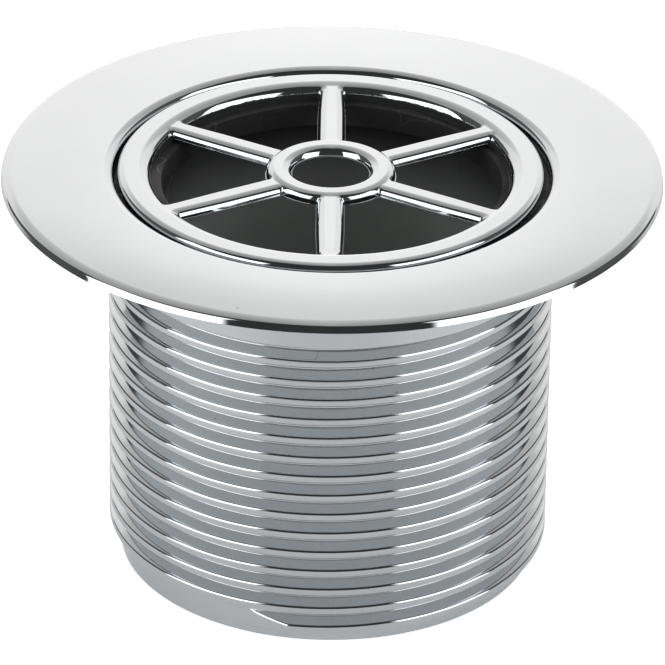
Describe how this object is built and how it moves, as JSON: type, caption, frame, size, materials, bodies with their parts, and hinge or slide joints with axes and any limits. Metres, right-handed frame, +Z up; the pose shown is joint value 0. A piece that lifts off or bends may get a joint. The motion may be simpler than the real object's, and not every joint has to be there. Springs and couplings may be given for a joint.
{
  "type": "shower waste",
  "caption": "Chromed shower waste: a wide flat flange on a hollow threaded tail, with a loose round spoked grid resting flush in its mouth.",
  "frame": {"origin": "on the tail's axis, in the plane of the flange's underside that seats on the tray", "axes": "+Z up out of the drain along the tail's axis, -Y towards the front of the picture, +X to its right"},
  "size_m": [0.0708, 0.0708, 0.0455],
  "materials": {
    "body_chrome": "polished chrome plating",
    "grid_chrome": "polished chrome plating"
  },
  "bodies": {
    "root": {"waste_body": "body_chrome", "grid": "grid_chrome"}
  },
  "joints": []
}
